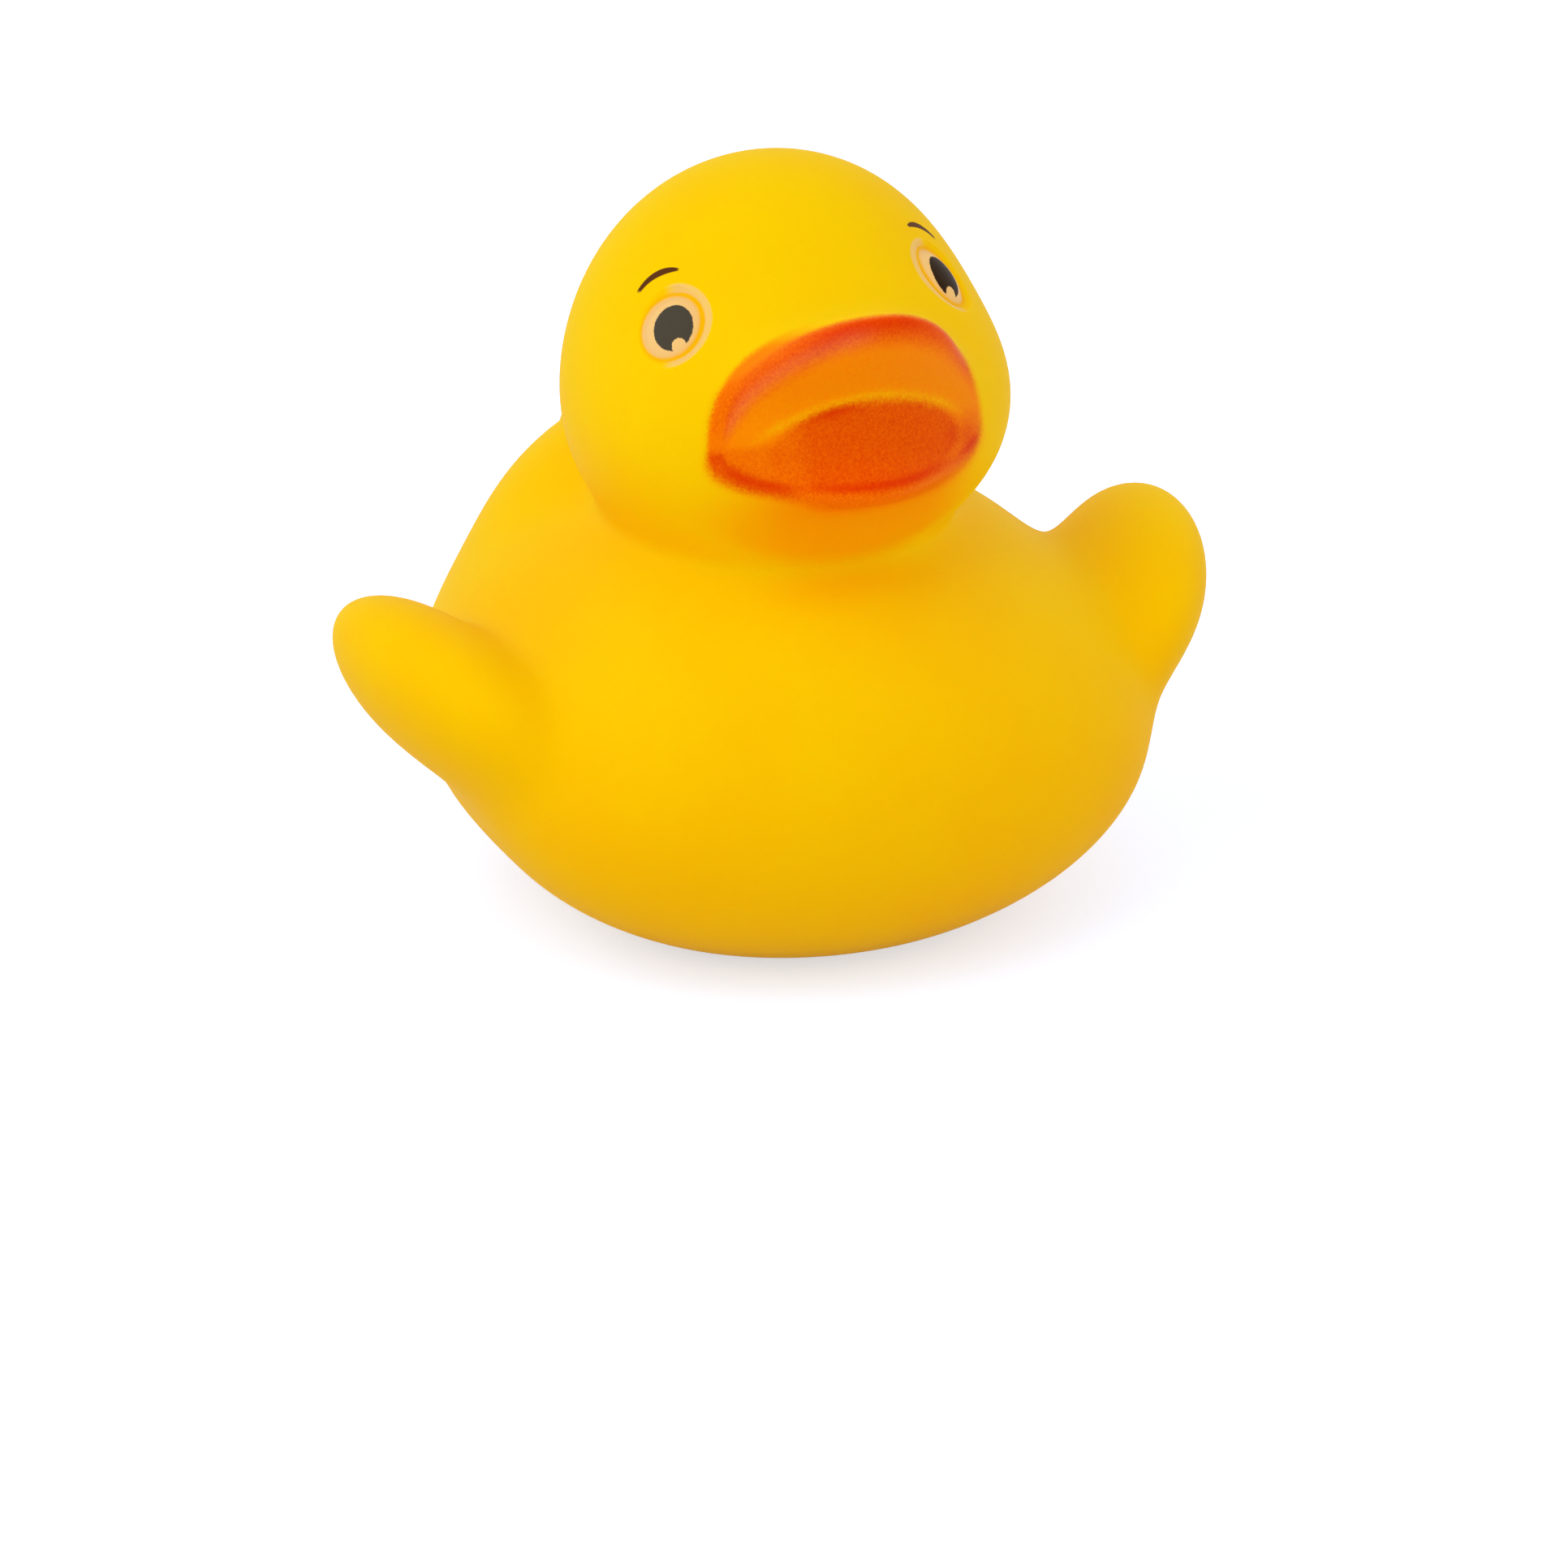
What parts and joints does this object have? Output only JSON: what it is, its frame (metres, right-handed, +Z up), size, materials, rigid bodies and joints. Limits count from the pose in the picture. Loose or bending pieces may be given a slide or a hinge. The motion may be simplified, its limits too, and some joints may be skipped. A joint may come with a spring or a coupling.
{
  "type": "rubber duck",
  "caption": "Small hollow bath duck moulded in one piece, with raised thumb wings, an open upturned bill, socketed eyes and a vented flat base.",
  "frame": {"origin": "on the surface that the duck stands on, under the middle of its box", "axes": "+Z up, -Y the way the duck looks, +X its left side"},
  "size_m": [0.053, 0.0476, 0.0437],
  "materials": {
    "vinyl": "matte yellow soft vinyl, sprayed orange on the bill and cream round the dark pupils"
  },
  "bodies": {
    "root": {"duck_moulding": "vinyl"}
  },
  "joints": []
}
